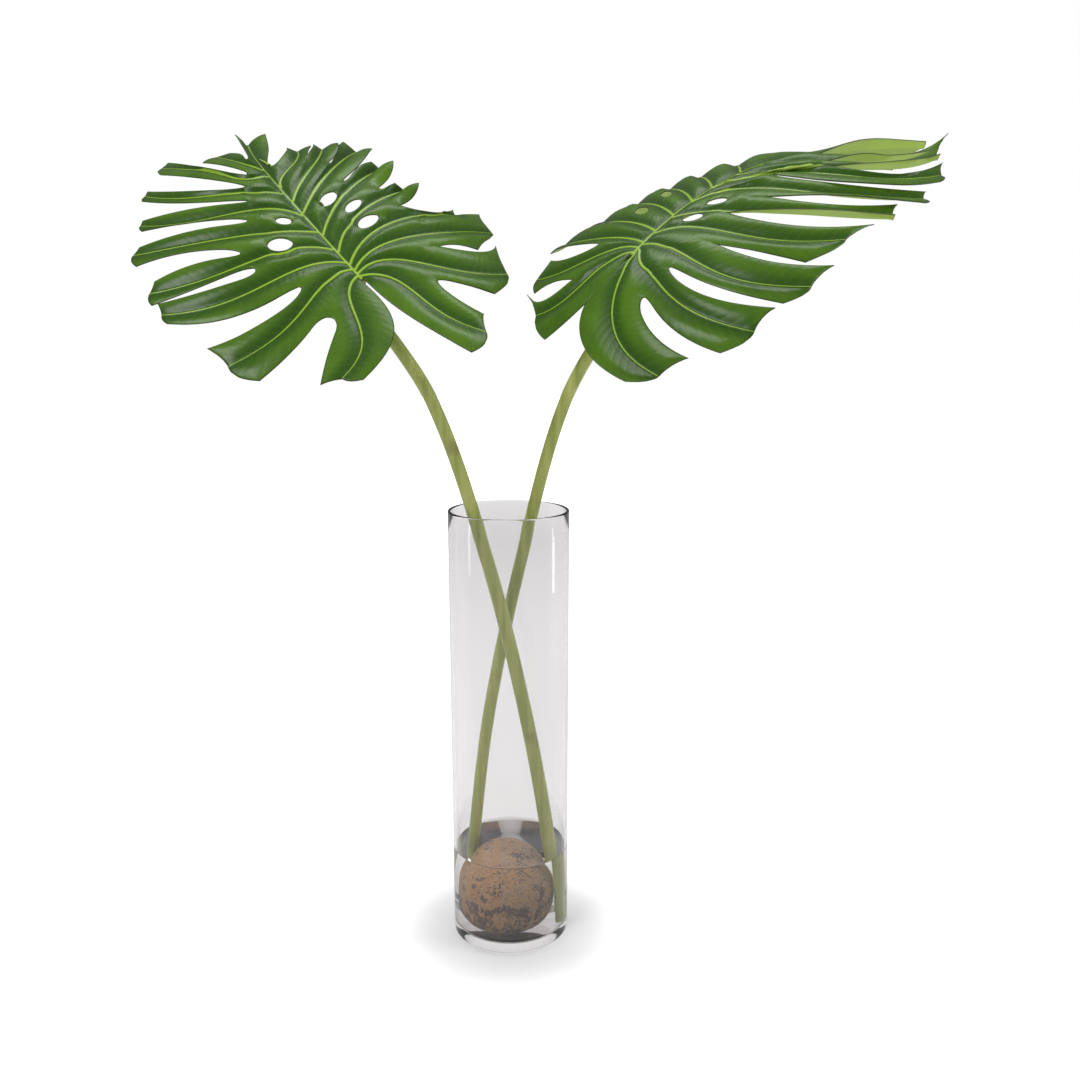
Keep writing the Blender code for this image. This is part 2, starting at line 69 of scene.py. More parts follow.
def add_node(tree: bpy.types.NodeTree, kind: str, inputs: dict | None = None, **settings: Any) -> bpy.types.Node:
    """Adds one node, with its settings, and its inputs set or linked.

    Args:
        tree: The node tree to add to.
        kind: The node's type name.
        inputs: Input name or number to a socket or a constant.
        settings: Attributes of the node.

    Returns:
        The new node.
    """
    made = tree.nodes.new(kind)
    for name, value in settings.items():
        setattr(made, name, value)
    for key, value in (inputs or {}).items():
        if isinstance(value, bpy.types.NodeSocket):
            tree.links.new(value, made.inputs[key])
        else:
            made.inputs[key].default_value = value
    return made


def maths(tree: bpy.types.NodeTree, operation: str, first: Any, second: Any = 0.0, clamp: bool = False) -> Any:
    """One Math node's output, of two sockets or numbers."""
    return add_node(tree, "ShaderNodeMath", {0: first, 1: second}, operation=operation, use_clamp=clamp).outputs[0]


def ramp(tree: bpy.types.NodeTree, value: Any, low: float, high: float, start: float = 0.0, stop: float = 1.0) -> Any:
    """A value eased from start at low to stop at high."""
    inputs = {"Value": value, "From Min": low, "From Max": high, "To Min": start, "To Max": stop}
    return add_node(tree, "ShaderNodeMapRange", inputs, interpolation_type="SMOOTHSTEP").outputs[0]


def mix(tree: bpy.types.NodeTree, share: Any, first: Any, second: Any, blend: str = "MIX") -> Any:
    """The colour between two colours or colour sockets."""
    made = add_node(tree, "ShaderNodeMix", data_type="RGBA", blend_type=blend)
    for socket, value in ((made.inputs[0], share), (made.inputs[6], first), (made.inputs[7], second)):
        if isinstance(value, bpy.types.NodeSocket):
            tree.links.new(value, socket)
        else:
            socket.default_value = value if socket == made.inputs[0] else (*value, 1.0)
    return made.outputs[2]


def read(tree: bpy.types.NodeTree, name: str, out: str = "Fac") -> Any:
    """A socket that reads one of the piece's own attributes."""
    return add_node(tree, "ShaderNodeAttribute", attribute_name=name).outputs[out]


def mottle_group() -> bpy.types.NodeTree:
    """The uneven tone that the blades, the stems and the stone share, built once.

    Returns:
        A node group from a place, a scale and a contrast to a tone round 0.5 and a fine grain.
    """
    found = bpy.data.node_groups.get("uneven tone")
    if found:
        return found
    group = bpy.data.node_groups.new("uneven tone", "ShaderNodeTree")
    sides = (("Place", "INPUT", "NodeSocketVector"), ("Scale", "INPUT", "NodeSocketFloat"))
    sides += (("Contrast", "INPUT", "NodeSocketFloat"),)
    sides += (("Tone", "OUTPUT", "NodeSocketFloat"), ("Grain", "OUTPUT", "NodeSocketFloat"))
    for name, side, kind in sides:
        group.interface.new_socket(name=name, in_out=side, socket_type=kind)
    taken = group.nodes.new("NodeGroupInput")
    given = group.nodes.new("NodeGroupOutput")
    place, scale, contrast = (taken.outputs[k] for k in range(3))
    broad = add_node(group, "ShaderNodeTexNoise", {"Vector": place, "Scale": scale, "Detail": 4.0, "Roughness": 0.55})
    fine = maths(group, "MULTIPLY", scale, 14.0)
    grain = add_node(group, "ShaderNodeTexNoise", {"Vector": place, "Scale": fine, "Detail": 3.0})
    tone = maths(group, "MULTIPLY", maths(group, "SUBTRACT", broad.outputs["Fac"], 0.5), contrast)
    group.links.new(maths(group, "ADD", tone, 0.5, clamp=True), given.inputs["Tone"])
    group.links.new(grain.outputs["Fac"], given.inputs["Grain"])
    return group


def mottle(tree: bpy.types.NodeTree, place: Any, scale: float, contrast: float) -> tuple[Any, Any]:
    """The tone and grain sockets of an uneven surface."""
    made = add_node(tree, "ShaderNodeGroup", node_tree=mottle_group())
    tree.links.new(place, made.inputs["Place"])
    made.inputs["Scale"].default_value = scale
    made.inputs["Contrast"].default_value = contrast
    return made.outputs["Tone"], made.outputs["Grain"]


def new_material(name: str, colour: Colour) -> tuple[bpy.types.Material, bpy.types.NodeTree, bpy.types.Node]:
    """A material with its tree and its Principled shader."""
    material = bpy.data.materials.new(name)
    material.use_nodes = True
    material.diffuse_color = (*colour, 1.0)
    tree = material.node_tree
    shader = tree.nodes["Principled BSDF"]
    shader.inputs["Base Color"].default_value = (*colour, 1.0)
    return material, tree, shader


def bump(tree: bpy.types.NodeTree, shader: bpy.types.Node, height: Any, strength: float, distance: float) -> None:
    """Feeds a height to the shader's normal."""
    made = add_node(tree, "ShaderNodeBump", {"Height": height, "Strength": strength, "Distance": distance})
    tree.links.new(made.outputs["Normal"], shader.inputs["Normal"])


# ---- finishes ----


@dataclass(frozen=True)
class BladeFinish:
    """The glossy green of a monstera blade: its upper face, its underside and its dry margin."""

    deep: Colour = (0.028, 0.080, 0.006)
    # painted light: the fresher green of the lit panels between the veins
    painted_panel_light: Colour = (0.070, 0.160, 0.007)
    vein: Colour = (0.27, 0.44, 0.035)
    under: Colour = (0.31, 0.46, 0.055)
    under_vein: Colour = (0.40, 0.56, 0.13)
    margin: Colour = (0.030, 0.040, 0.012)
    gloss: float = 0.29

    def upper(self) -> bpy.types.Material:
        """The upper face: pale veins; painted shade, a darker green, in the channels beside them; painted light, a
        fresher green, on the panels out towards the cuts.
        """
        material, tree, shader = new_material("blade upper face", self.deep)
        plan = read(tree, "plan", "Vector")
        tone, grain = mottle(tree, plan, 1.6, 1.5)
        # painted light on the panels away from the veins, leaving painted shade in the channels beside them, in a
        # random tone
        painted_panel_light = maths(tree, "MULTIPLY", ramp(tree, read(tree, "span"), 3.0, 16.0), tone)
        green = mix(tree, maths(tree, "MULTIPLY", painted_panel_light, 1.5, clamp=True), self.deep, self.painted_panel_light)
        fine = ramp(tree, maths(tree, "PINGPONG", read(tree, "lateral"), 4.2), 0.0, 0.9, 0.05, 0.0)
        green = mix(tree, fine, green, self.vein)
        vein = ramp(tree, read(tree, "vein"), 0.6, 1.15, 0.95, 0.0)
        green = mix(tree, vein, green, self.vein)
        edge = ramp(tree, read(tree, "brink"), 0.3, 1.1, 0.75, 0.0)
        tree.links.new(mix(tree, edge, green, self.margin), shader.inputs["Base Color"])
        rough = maths(tree, "ADD", maths(tree, "MULTIPLY", grain, 0.14), self.gloss - 0.07)
        tree.links.new(rough, shader.inputs["Roughness"])
        shader.inputs["Specular IOR Level"].default_value = 0.27
        ribs = ramp(tree, maths(tree, "PINGPONG", read(tree, "lateral"), 4.2), 0.0, 3.2)
        height = maths(tree, "ADD", maths(tree, "MULTIPLY", ribs, 0.45), maths(tree, "MULTIPLY", grain, 0.35))
        bump(tree, shader, height, 0.25, 0.0005)
        return material

    def lower(self) -> bpy.types.Material:
        """The underside: pale matt green with lighter raised veins."""
        material, tree, shader = new_material("blade underside", self.under)
        plan = read(tree, "plan", "Vector")
        tone, grain = mottle(tree, plan, 1.8, 0.9)
        green = mix(tree, tone, tuple(c * 0.8 for c in self.under), tuple(min(1.0, c * 1.2) for c in self.under))
        vein = ramp(tree, read(tree, "vein"), 0.7, 1.6, 0.8, 0.0)
        green = mix(tree, vein, green, self.under_vein)
        edge = ramp(tree, read(tree, "brink"), 0.3, 1.1, 0.6, 0.0)
        tree.links.new(mix(tree, edge, green, self.margin), shader.inputs["Base Color"])
        shader.inputs["Roughness"].default_value = 0.5
        bump(tree, shader, grain, 0.25, 0.0005)
        return material

    def brink(self) -> bpy.types.Material:
        """The thin cut edge round the blade and its holes."""
        material, tree, shader = new_material("blade margin", self.margin)
        tone, _ = mottle(tree, read(tree, "plan", "Vector"), 6.0, 1.4)
        colour = mix(tree, tone, self.margin, tuple(c * 2.2 for c in self.margin))
        tree.links.new(colour, shader.inputs["Base Color"])
        shader.inputs["Roughness"].default_value = 0.55
        return material


@dataclass(frozen=True)
class StemFinish:
    """Sage green with long fine fibres and browner, drier blotches."""

    pale: Colour = (0.46, 0.49, 0.145)
    green: Colour = (0.25, 0.30, 0.050)
    brown: Colour = (0.17, 0.135, 0.045)

    def material(self) -> bpy.types.Material:
        """The stem's material, in lengthwise streaks."""
        material, tree, shader = new_material("stem skin", self.green)
        place = add_node(tree, "ShaderNodeTexCoord").outputs["Object"]
        drawn = add_node(tree, "ShaderNodeMapping", {"Vector": place, "Scale": (1.0, 1.0, 0.035)}).outputs[0]
        streak, fibre = mottle(tree, drawn, 130.0, 2.4)
        blotch, _ = mottle(tree, place, 26.0, 1.8)
        colour = mix(tree, streak, self.green, self.pale)
        dry = ramp(tree, blotch, 0.62, 0.95, 0.0, 0.5)
        tree.links.new(mix(tree, dry, colour, self.brown), shader.inputs["Base Color"])
        shader.inputs["Roughness"].default_value = 0.42
        shader.inputs["Coat Weight"].default_value = 0.12
        bump(tree, shader, fibre, 0.35, 0.0008)
        return material


@dataclass(frozen=True)
class ClearFinish:
    """A clear body, glass or water, that lets most light through to what stands behind it."""

    name: str
    tint: Colour
    bending: float
    shade: float = 0.89

    def material(self) -> bpy.types.Material:
        """The clear material, with a light shadow."""
        material, tree, shader = new_material(self.name, self.tint)
        shader.inputs["Roughness"].default_value = 0.0
        shader.inputs["Transmission Weight"].default_value = 1.0
        shader.inputs["IOR"].default_value = self.bending
        path = add_node(tree, "ShaderNodeLightPath")
        film = add_node(tree, "ShaderNodeBsdfTransparent", {"Color": (self.shade, self.shade, self.shade, 1.0)})
        joined = add_node(tree, "ShaderNodeMixShader", {0: path.outputs["Is Shadow Ray"]})
        tree.links.new(shader.outputs[0], joined.inputs[1])
        tree.links.new(film.outputs[0], joined.inputs[2])
        tree.links.new(joined.outputs[0], tree.nodes["Material Output"].inputs["Surface"])
        return material


@dataclass(frozen=True)
class StoneFinish:
    """A water-worn stone, ochre with purple-grey patches and dark specks."""

    ochre: Colour = (0.46, 0.205, 0.055)
    sand: Colour = (0.50, 0.33, 0.17)
    grey: Colour = (0.27, 0.22, 0.17)
    slate: Colour = (0.062, 0.045, 0.048)

    def material(self) -> bpy.types.Material:
        """The stone's material: ochre shoulder, ragged slate patches low down, and grit all over."""
        material, tree, shader = new_material("mottled stone", self.ochre)
        place = add_node(tree, "ShaderNodeTexCoord").outputs["Object"]
        warm, soft = mottle(tree, place, 34.0, 2.0)
        patch, ragged = mottle(tree, place, 75.0, 2.5)
        grit, _ = mottle(tree, place, 420.0, 2.6)
        parts = add_node(tree, "ShaderNodeSeparateXYZ", {0: place}).outputs
        low = ramp(tree, parts["Z"], 0.022, 0.066, 0.16, -0.16)
        shoulder = ramp(tree, parts["X"], -0.045, 0.030, -0.10, 0.10)
        colour = mix(tree, warm, self.ochre, self.sand)
        colour = mix(tree, ramp(tree, maths(tree, "ADD", soft, shoulder), 0.42, 0.62, 0.0, 0.7), colour, self.grey)
        dark = maths(tree, "ADD", maths(tree, "ADD", patch, low), maths(tree, "MULTIPLY", grit, 0.5))
        dark = maths(tree, "ADD", dark, maths(tree, "MULTIPLY", ragged, 0.8))
        colour = mix(tree, ramp(tree, dark, 1.12, 1.34, 0.0, 0.92), colour, self.slate)
        colour = mix(tree, ramp(tree, grit, 0.50, 0.85, 0.0, 0.5), colour, tuple(c * 0.9 for c in self.slate))
        colour = mix(tree, ramp(tree, ragged, 0.52, 0.66, 0.0, 0.45), colour, self.sand)
        tree.links.new(colour, shader.inputs["Base Color"])
        shader.inputs["Roughness"].default_value = 0.6
        bump(tree, shader, ragged, 0.5, 0.0015)
        return material


# ---- the blades ----


@dataclass(frozen=True)
class Lobe:
    """One lobe of a blade's plan: its vein, its two corners with their edges' bellies, and the cut after it."""

    root: float
    end: Flat
    bow: float
    lead: float
    base: Flat
    base_belly: float
    tip: Flat
    tip_belly: float
    sinus: Flat
    width: float = 6
    hole: tuple | None = None
    fold: Flat = (0, 0)
    bend: float = 0


@dataclass(frozen=True)
class LeafTip:
    """One half of the lobe at the leaf's tip, with its fold and its own bend."""

    root: float
    end: float
    base: Flat
    base_belly: float
    fold: float
    bend: float
    bend_from: float


@dataclass(frozen=True)
class Hold:
    """How a leaf is held: its place, heading, rise, roll and side lean, its arch, fold and droop."""

    junction: Point
    heading: float
    rise: float
    roll: float
    lean: float
    arch: Flat
    fold: float
    droop: dict[int, Flat]


class Slot(Enum):
    """The material slots of the part."""

    BLADE = "blade"
    STEM = "stem"
    GLASS = "glass"
    WATER = "water"
    STONE = "stone"


MIDRIB_HALF = 1.5
QUILTING = 0.0035
BEND_FROM = 0.62

LEFT_LEAF_LEFT = (
    Lobe(2, (-103, 78), 16, 17, (-115, 64), -25, (-98, 96), 2, (-32, 51), 18),
    Lobe(12, (-22, 147), 16, 14, (-57, 134), 6, (7, 151), -9, (12, 53), 9),
    Lobe(22, (57, 164), 17, 15, (47, 165), 17, (69, 161), -4, (48, 75), 11),
    Lobe(42, (83, 162), 9, 14, (71, 166), 4, (92, 152), 4, (72, 76), 8, (0.38, 0.68, 17)),
    Lobe(71, (135, 156), 4, 4, (120, 158), -4, (141, 146), 2, (109, 51), 8, (0.27, 0.55, 11)),
    Lobe(101, (171, 136), 12, 18, (162, 137), 1, (178, 131), 0, (140, 38), 6),
    Lobe(147, (226, 119), 18, 10, (217, 123), 11, (236, 114), -9, (169, 31), 8),
    Lobe(192, (316, 96), 10, 0, (278, 97), 5, (361, 89), -12, (197, 20), 7),
    Lobe(214, (300, 38), 0, 0, (280, 52), 0, (314, 20), 4, (248, 10), 4),
    LeafTip(232, 312, (331, 10), -2, 10, 4.5, 0.4),
)
LEFT_LEAF_RIGHT = (
    Lobe(1, (-111, 58), 7, 17, (-129, 31), -7, (-88, 71), -4, (-38, 57), 6),
    Lobe(5, (-41, 141), 14, 20, (-66, 101), 1, (-1, 169), -15, (2, 81), 6),
    Lobe(10, (34, 190), 6, 14, (-8, 134), -3, (108, 210), -14, (44, 99), 6),
    Lobe(18, (62, 152), -12, 4, (41, 139), -1, (83, 159), -17, (75, 90), 6, (0.42, 0.68, 14)),
    Lobe(37, (116, 116), -6, 3, (106, 125), 11, (118, 101), -1, (115, 85), 6, (0.44, 0.68, 11), (45, 30)),
    Lobe(65, (181, 114), 0, 2, (172, 121), 12, (186, 102), 1, (139, 58), 6, (0.33, 0.66, 14), (45, 30)),
    Lobe(105, (264, 108), 9, 2, (261, 123), 15, (269, 92), 0, (190, 61), 6, None, (25, 30)),
    Lobe(129, (265, 71), 11, 4, (260, 84), 10, (266, 61), -5, (199, 37), 6, None, (30, 30)),
    Lobe(161, (260, 44), 10, 8, (257, 59), 0, (265, 34), -6, (209, 6), 6, None, (20, 20)),
    LeafTip(232, 312, (328, 23), 3, 0, 4.5, 0.4),
)
RIGHT_LEAF_LEFT = (
    Lobe(2, (-78, 78), 16, 14, (-100, 50), -16, (-55, 111), -20, (-35, 44), 8),
    Lobe(9, (-35, 113), 11, 12, (-53, 100), -5, (-6, 114), -11, (9, 52), 6),
    Lobe(17, (45, 165), 12, 7, (26, 158), 6, (63, 162), 4, (49, 80), 6),
    Lobe(35, (100, 166), 12, 6, (79, 162), 6, (117, 160), 4, (88, 80), 6, (0.42, 0.67, 12)),
    Lobe(62, (155, 160), 12, 6, (134, 159), 6, (171, 151), 4, (128, 75), 6, (0.42, 0.67, 10)),
    Lobe(90, (205, 148), 12, 6, (184, 150), 6, (219, 137), 4, (165, 66), 6),
    Lobe(120, (252, 130), 12, 5, (231, 135), 6, (265, 117), 4, (205, 54), 6),
    Lobe(163, (300, 105), 10, 4, (281, 113), 6, (311, 91), 4, (242, 36), 6),
    LeafTip(215, 488, (462, 30), -3, -35, -0.25, 0.15),
)
RIGHT_LEAF_RIGHT = (
    Lobe(3, (-111, 91), 30, 5, (-122, 60), -43, (-89, 112), -8, (-47, 47), 9),
    Lobe(7, (-46, 154), 23, 5, (-77, 136), 9, (-13, 158), -16, (-11, 52), 6),
    Lobe(14, (26, 170), 29, 16, (-5, 161), 11, (61, 171), -19, (29, 63), 6),
    Lobe(31, (97, 160), 25, 18, (48, 151), 3, (137, 164), -22, (72, 56), 5, (0.3, 0.62, 12, 9)),
    Lobe(58, (157, 170), 26, 12, (153, 170), 8, (187, 157), -22, (104, 58), 7, (0.35, 0.66, 11, 8), (85, 0)),
    Lobe(88, (225, 162), 34, 28, (184, 181), 4, (243, 153), -22, (152, 46), 9, None, (20, 0)),
    Lobe(118, (276, 146), 23, 25, (251, 158), 34, (312, 126), -34, (201, 66), 6, None, (10, 0), 0.4),
    Lobe(155, (292, 128), 24, 4, (290, 128), 0, (343, 106), -24, (214, 55), 6, None, (80, 0), 3),
    Lobe(190, (326, 106), 14, 1, (324, 104), 0, (383, 90), -20, (245, 31), 6, None, (80, 0), 4.5),
    LeafTip(215, 488, (478, 8), -8, 50, -0.25, 0.15),
)
LEFT_HOLD = Hold((-0.131, -0.052, 0.670), 143, 39, 29, 34, (2.0, -2.3), 5.4, {-1: (-2.6, -2.6), 1: (-3.7, -3.7)})
RIGHT_HOLD = Hold((0.112, -0.051, 0.691), 34, 40, -9, 0, (-5.6, -2.1), 1.1, {-1: (-2.4, -10.0), 1: (-2.8, -2.8)})
LEFT_STEM = (
    (0.0455, -0.012, 0.014),
    (0.0405, -0.013, 0.094),
    (0.0151, -0.019, 0.248),
    (-0.0209, -0.024, 0.404),
    (-0.0710, -0.035, 0.559),
)
RIGHT_STEM = (
    (-0.0425, 0.0235, 0.014),
    (-0.0420, 0.0235, 0.055),
    (-0.0385, 0.0205, 0.100),
    (-0.0213, 0.013, 0.236),
    (0.0122, 0.004, 0.398),
    (0.0554, -0.012, 0.558),
)
LEFT_STEM_RADII = (0.0074, 0.0059)
RIGHT_STEM_RADII = (0.0066, 0.0058)


# ---- shapes of the blades ----


def smooth(x: np.ndarray) -> np.ndarray:
    """0 up to 0, 1 from 1 on, and eased between them."""
    x = np.clip(x, 0, 1)
    return x * x * (3 - 2 * x)


def unit(v: np.ndarray) -> np.ndarray:
    """A vector at length one."""
    return v / (np.linalg.norm(v) + 1e-12)


def left_of(v: np.ndarray) -> np.ndarray:
    """The unit vector a quarter turn to the left of a flat one."""
    return unit(np.array([-v[1], v[0]], float))


def bowed(start: Any, end: Any, bow: float, s: np.ndarray) -> np.ndarray:
    """Points at shares s of a curve that bows to the left of its chord."""
    start, end = np.array(start, float), np.array(end, float)
    chord = end - start
    middle = (start + end) / 2 + 2 * bow * np.array([-chord[1], chord[0]]) / np.hypot(*chord)
    s = np.asarray(s, float)[:, None]
    return (1 - s) ** 2 * start + 2 * s * (1 - s) * middle + s * s * end


def lead_at(lead: float, s: np.ndarray) -> np.ndarray:
    """How far a vein still leads towards the leaf's tip, at shares s of its length."""
    s = np.clip(np.asarray(s, float), 0, 1)
    return lead * 9.5 * s * (1 - s) ** 3


def nearest(points: np.ndarray, line: np.ndarray) -> tuple[np.ndarray, np.ndarray]:
    """How far flat points lie from a line of flat points.

    Args:
        points: Flat points (n, 2).
        line: The line's points (m, 2).

    Returns:
        Each point's distance, and the share of the line's points at its foot.
    """
    start, run = line[:-1], np.diff(line, axis=0)
    length = np.maximum((run**2).sum(1), 1e-9)
    along = np.einsum("nmk,mk->nm", points[:, None] - start, run) / length
    along = np.clip(along, 0, 1)
    apart = np.linalg.norm(points[:, None] - start - along[..., None] * run, axis=2)
    best = apart.argmin(1)
    rows = np.arange(len(points))
    return apart[rows, best], (best + along[rows, best]) / len(run)


class BladeShape:
    """One blade: its flat plan, and the arched surface that the plan lies on."""

    def __init__(self, hold: Hold, left: tuple, right: tuple) -> None:
        """Works out the leaf's own directions from how it is held."""
        heading, rise, roll, lean = (math.radians(a) for a in (hold.heading, hold.rise, hold.roll, hold.lean))
        self.junction = np.array(hold.junction)
        self.ahead = np.array(
            [math.cos(rise) * math.cos(heading), math.cos(rise) * math.sin(heading), math.sin(rise)]
        )
        level = unit(np.array([self.ahead[1], -self.ahead[0], 0.0]))
        across = level * math.cos(roll) + np.cross(level, self.ahead) * math.sin(roll)
        self.normal = np.cross(across, self.ahead)
        self.lean = lean
        self.bend_up = self.normal * math.cos(lean) - across * math.sin(lean)
        self.hinge = across * math.cos(lean) + self.normal * math.sin(lean)
        self.arch = hold.arch
        self.rise_of_halves = math.radians(hold.fold)
        self.droop = hold.droop
        self.halves = {-1: left, 1: right}

    def surface(self, plan: np.ndarray, side: int) -> np.ndarray:
        """Places in space of flat points (n, 2) of one half, before any lobe is folded."""
        along, out = plan[:, 0] / 1000, np.maximum(plan[:, 1], 0) / 1000
        arch = np.where(along < 0, self.arch[0], self.arch[1])
        turn = arch * along
        up = -np.outer(np.sin(turn), self.ahead) + np.outer(np.cos(turn), self.bend_up)
        across = self.hinge * math.cos(self.lean) - up * math.sin(self.lean)
        normal = self.hinge * math.sin(self.lean) + up * math.cos(self.lean)
        midrib = np.outer(np.sin(turn) / arch, self.ahead) + np.outer((1 - np.cos(turn)) / arch, self.bend_up)
        droop = np.interp(plan[:, 0], (0, self.halves[side][-1].end), self.droop[side])
        first, last = self.rise_of_halves, self.rise_of_halves + droop * out
        sideways = (np.sin(last) - math.sin(first)) / droop + np.minimum(plan[:, 1], 0) / 1000
        height = (math.cos(first) - np.cos(last)) / droop
        return self.junction + midrib + side * across * sideways[:, None] + normal * height[:, None]

    def normals(self, plan: np.ndarray, side: int) -> np.ndarray:
        """Upward unit normals of the surface at flat points."""
        place = self.surface(plan, side)
        ahead = self.surface(plan + [0.1, 0], side) - place
        out = self.surface(plan + [0, 0.1], side) - place
        normal = np.cross(out, ahead) * side
        return normal / np.linalg.norm(normal, axis=1)[:, None]

    def vein_line(self, lobe: Lobe | LeafTip, s: Any) -> np.ndarray:
        """Flat points of a lobe's vein at shares s of its length."""
        if isinstance(lobe, LeafTip):
            along = lobe.root + (lobe.end - lobe.root) * np.asarray(s, float)
            return np.stack([along, np.full_like(along, MIDRIB_HALF)], 1)
        start = np.array([lobe.root, MIDRIB_HALF])
        line = bowed(start, lobe.end, lobe.bow, s)
        return line - left_of(lobe.end - start) * lead_at(lobe.lead, s)[:, None]

    def vein(self, half: tuple, i: int, rows: np.ndarray) -> np.ndarray:
        """The vein at rows 0 to 1; row 0.5 is level with the cuts beside the lobe."""
        lobe = half[i]
        end = np.array([lobe.end, 0]) if isinstance(lobe, LeafTip) else np.array(lobe.end)
        length = np.hypot(end[0] - lobe.root, end[1])
        beside = [cut.sinus for cut in half[max(i - 1, 0) : i + 1] if not isinstance(cut, LeafTip)]
        level = np.mean([np.hypot(s[0] - lobe.root, s[1]) for s in beside]) / length
        line = self.vein_line(lobe, np.interp(rows, (0, 0.5, 1), (0, min(max(level, 0.12), 0.8), 1)))
        if isinstance(lobe, LeafTip):
            return line
        low = self.edge(half, i, False, rows)
        span = self.edge(half, i, True, rows) - low
        share = ((line - low) * span).sum(1) / np.maximum((span * span).sum(1), 1)
        kept = np.clip(share, 0.15, 0.85)
        off = line - low - span * share[:, None]
        most = 0.6 * np.minimum(kept, 1 - kept) * np.hypot(*span.T)
        free = smooth((rows - 0.7) / 0.3)
        trim = free + (1 - free) * np.minimum(1, most / np.maximum(np.hypot(*off.T), 1e-6))
        return low + span * kept[:, None] + off * trim[:, None]

    def edge(self, half: tuple, i: int, tipward: bool, rows: np.ndarray) -> np.ndarray:
        """One edge of lobe i: the line to the cut, then along the cut to the lobe's corner."""
        lobe = half[i]
        if i == 0 and not tipward:
            return bowed((-3, MIDRIB_HALF), lobe.base, -lobe.base_belly, rows)
        near, far = (half[i], half[i + 1]) if tipward else (half[i - 1], half[i])
        hole = (*(near.hole or (0.35, 0.75, 0)), 0)
        sinus = np.array(near.sinus, float)
        start = np.array([(near.root + far.root) / 2, MIDRIB_HALF])
        share = np.interp(rows / 0.5, (0, 0.35, 0.75, 1), (0, hole[0], hole[1], 1))
        far_bow, far_lead = (0, 0) if isinstance(far, LeafTip) else (far.bow, far.lead)
        inner = bowed(start, sinus, (near.bow + far_bow) * 0.3, share)
        reach = np.hypot(*(sinus - start)) / np.hypot(*(np.array(near.end) - [near.root, MIDRIB_HALF]))
        lead = lead_at((near.lead + far_lead) / 2, share * reach)
        lead = lead - share * lead_at((near.lead + far_lead) / 2, np.array([reach]))
        lead = lead + hole[3] * np.sin(math.pi * share)
        inner = inner - left_of(sinus - start) * lead[:, None]
        widening = np.sqrt(np.maximum(np.sin(math.pi * np.clip((rows / 0.5 - 0.35) / 0.4, 0, 1)), 0))
        inner = inner + (1 if tipward else -1) * left_of(sinus - start) * (hole[2] / 2 * widening)[:, None]

        out = np.clip((rows - 0.5) / 0.5, 0, 1)
        corner = np.array(lobe.tip if tipward else lobe.base, float)
        other = np.array(far.base if tipward else near.tip, float)
        belly = -lobe.tip_belly if tipward else lobe.base_belly
        away = unit(unit(corner - sinus) - unit(other - sinus))
        opened = near.width / 2 * np.sqrt(np.clip(out / 0.2, 0, 1) * (2 - np.clip(out / 0.2, 0, 1))) * (1 - out)
        outer = bowed(sinus, corner, belly, out) + away * opened[:, None]
        return np.where((rows <= 0.5)[:, None], inner, outer)

    def column(
        self, side: int, i: int, way: int, share: np.ndarray, rows: np.ndarray
    ) -> tuple[np.ndarray, np.ndarray]:
        """One line of points down a lobe.

        Args:
            side: -1 for the left half, 1 for the right.
            i: The lobe's number from the stem.
            way: -1 towards its base-side edge, 1 towards its tip-side edge, 0 on its vein.
            share: How far out from the vein, at each row.
            rows: Places down the lobe, 0 at the midrib and 1 at its end.

        Returns:
            The points in space and on the flat plan.
        """
        half = self.halves[side]
        lobe = half[i]
        vein = self.vein(half, i, rows)
        plan = vein
        if way:
            plan = vein + (self.edge(half, i, way > 0, rows) - vein) * share[:, None]
            ends = self.vein_line(lobe, [0.9, 1.0])
            corner = np.array(lobe.tip if way > 0 else lobe.base)
            swell = (-0.24 if way > 0 else 0.6) * np.hypot(*(corner - ends[1])) * share * (1 - share)
            plan = plan + unit(ends[1] - ends[0]) * (swell * smooth((rows - 0.75) / 0.25))[:, None]
        place, normal = self.surface(plan, side), self.normals(plan, side)
        fold = lobe.fold if isinstance(lobe, LeafTip) else lobe.fold[way > 0]
        if way and fold:
            ridge = self.surface(vein, side)
            reach = place - ridge
            angle = (math.radians(fold) * smooth((rows - 0.5) / 0.35))[:, None]
            length = np.linalg.norm(reach, axis=1)[:, None]
            place = ridge + reach * np.cos(angle) + normal * np.sin(angle) * length
        if isinstance(lobe, LeafTip):
            place = self.bent(side, plan, place, self.vein_line(lobe, [lobe.bend_from, 1.0]), lobe.bend)
        elif lobe.bend:
            place = self.bent(side, plan, place, self.vein_line(lobe, [BEND_FROM, 1.0]), lobe.bend)
        puff = QUILTING * np.sin(math.pi * rows) * np.clip(np.hypot(*plan.T) / 110, 0, 1)
        return place + normal * (puff * np.sin(math.pi / 2 * share) ** 2)[:, None], plan

    def bent(self, side: int, plan: np.ndarray, place: np.ndarray, ends: np.ndarray, bend: float) -> np.ndarray:
        """The part of a lobe beyond the first of two flat points on a bend of its own, towards the second."""
        ahead = unit(ends[1] - ends[0])
        beyond = np.maximum((plan - ends[0]) @ ahead, 0)
        back = plan - ahead * beyond[:, None]
        root, normal = self.surface(back, side), self.normals(back, side)
        along = self.surface(back + ahead * 0.1, side) - root
        along = along / np.linalg.norm(along, axis=1)[:, None]
        turn = bend * beyond / 1000
        shift = along * (np.sin(turn) / bend)[:, None] + normal * ((1 - np.cos(turn)) / bend)[:, None]
        return place - self.surface(plan, side) + root + shift


